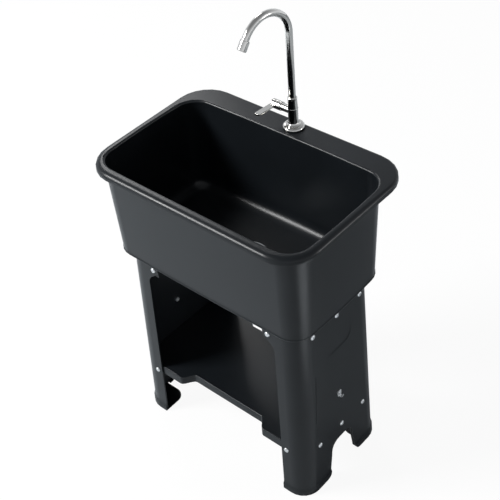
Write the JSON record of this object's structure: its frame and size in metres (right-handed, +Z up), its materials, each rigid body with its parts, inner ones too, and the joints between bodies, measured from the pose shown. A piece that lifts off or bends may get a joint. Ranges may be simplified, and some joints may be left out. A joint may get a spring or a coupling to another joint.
{
  "type": "laundry sink",
  "caption": "Free-standing laundry sink: a deep rectangular basin on two splayed end panels with a shelf between them, and a high-arc single-lever tap on the back deck.",
  "frame": {"origin": "floor level, under the middle of the rim", "axes": "+X to the right and +Z up, seen from the front, which faces -Y"},
  "size_m": [0.6, 0.4, 1.1008],
  "materials": {
    "moulded_black": "moulded, semi-gloss",
    "tap_chrome": "polished plating",
    "screw_zinc": "bright zinc plating",
    "hook_zinc": "satin zinc plating",
    "plain_brass": "turned, bare",
    "plain_steel": "satin",
    "black_rubber": "moulded, matt",
    "fibre_ring": "pressed fibre, matt",
    "screen_plastic": "moulded, matt"
  },
  "bodies": {
    "sink": {"tub": "moulded_black", "shelf": "moulded_black", "right_leg_panel": "moulded_black", "left_leg_panel": "moulded_black", "right_upper_side_screw_front": "screw_zinc", "right_upper_side_screw_middle": "screw_zinc", "right_upper_side_screw_rear": "screw_zinc", "right_upper_flange_screw_front": "screw_zinc", "right_upper_flange_screw_rear": "screw_zinc", "right_lower_side_screw_front": "screw_zinc", "right_lower_side_screw_middle": "screw_zinc", "right_lower_side_screw_rear": "screw_zinc", "right_lower_flange_screw_front": "screw_zinc", "right_lower_flange_screw_rear": "screw_zinc", "right_hook": "hook_zinc", "right_hook_bolt": "hook_zinc", "right_hook_nut": "hook_zinc", "left_upper_side_screw_front": "screw_zinc", "left_upper_side_screw_middle": "screw_zinc", "left_upper_side_screw_rear": "screw_zinc", "left_upper_flange_screw_front": "screw_zinc", "left_upper_flange_screw_rear": "screw_zinc", "left_lower_side_screw_front": "screw_zinc", "left_lower_side_screw_middle": "screw_zinc", "left_lower_side_screw_rear": "screw_zinc", "left_lower_flange_screw_front": "screw_zinc", "left_lower_flange_screw_rear": "screw_zinc", "left_hook": "hook_zinc", "left_hook_bolt": "hook_zinc", "left_hook_nut": "hook_zinc", "deck_gasket": "black_rubber", "tap_flange": "tap_chrome", "tap_body": "tap_chrome", "threaded_shank": "plain_brass", "shank_washer": "plain_steel", "shank_nut": "plain_brass", "spout_retaining_nut": "tap_chrome", "spout_seal": "black_rubber", "valve_cartridge": "plain_brass", "strainer_body": "plain_steel", "drain_gasket": "black_rubber", "friction_ring": "fibre_ring", "drain_locknut": "hook_zinc", "tailpiece": "tap_chrome", "slip_nut": "tap_chrome"},
    "spout_arm": {"spout": "tap_chrome", "aerator_housing": "tap_chrome", "aerator_screen": "screen_plastic"},
    "lever": {"lever_handle": "tap_chrome", "handle_grub_screw": "plain_steel", "valve_stem": "plain_brass"},
    "basket": {"strainer_basket": "plain_steel", "basket_stopper": "black_rubber"}
  },
  "joints": [
    {"name": "spout_swivel", "type": "hinge", "parent": "sink", "child": "spout_arm", "pos_m": [0, 0.173, 0.86], "axis": [0, 0, 1], "range_deg": [-84, 96]},
    {"name": "lever_turn", "type": "hinge", "parent": "sink", "child": "lever", "pos_m": [-0.04, 0.173, 0.833], "axis": [-1, 0, 0], "range_deg": [0, 90]},
    {"name": "strainer_lift", "type": "slide", "parent": "sink", "child": "basket", "axis": [0, 0, 1], "range_m": [0, 0.06]}
  ]
}
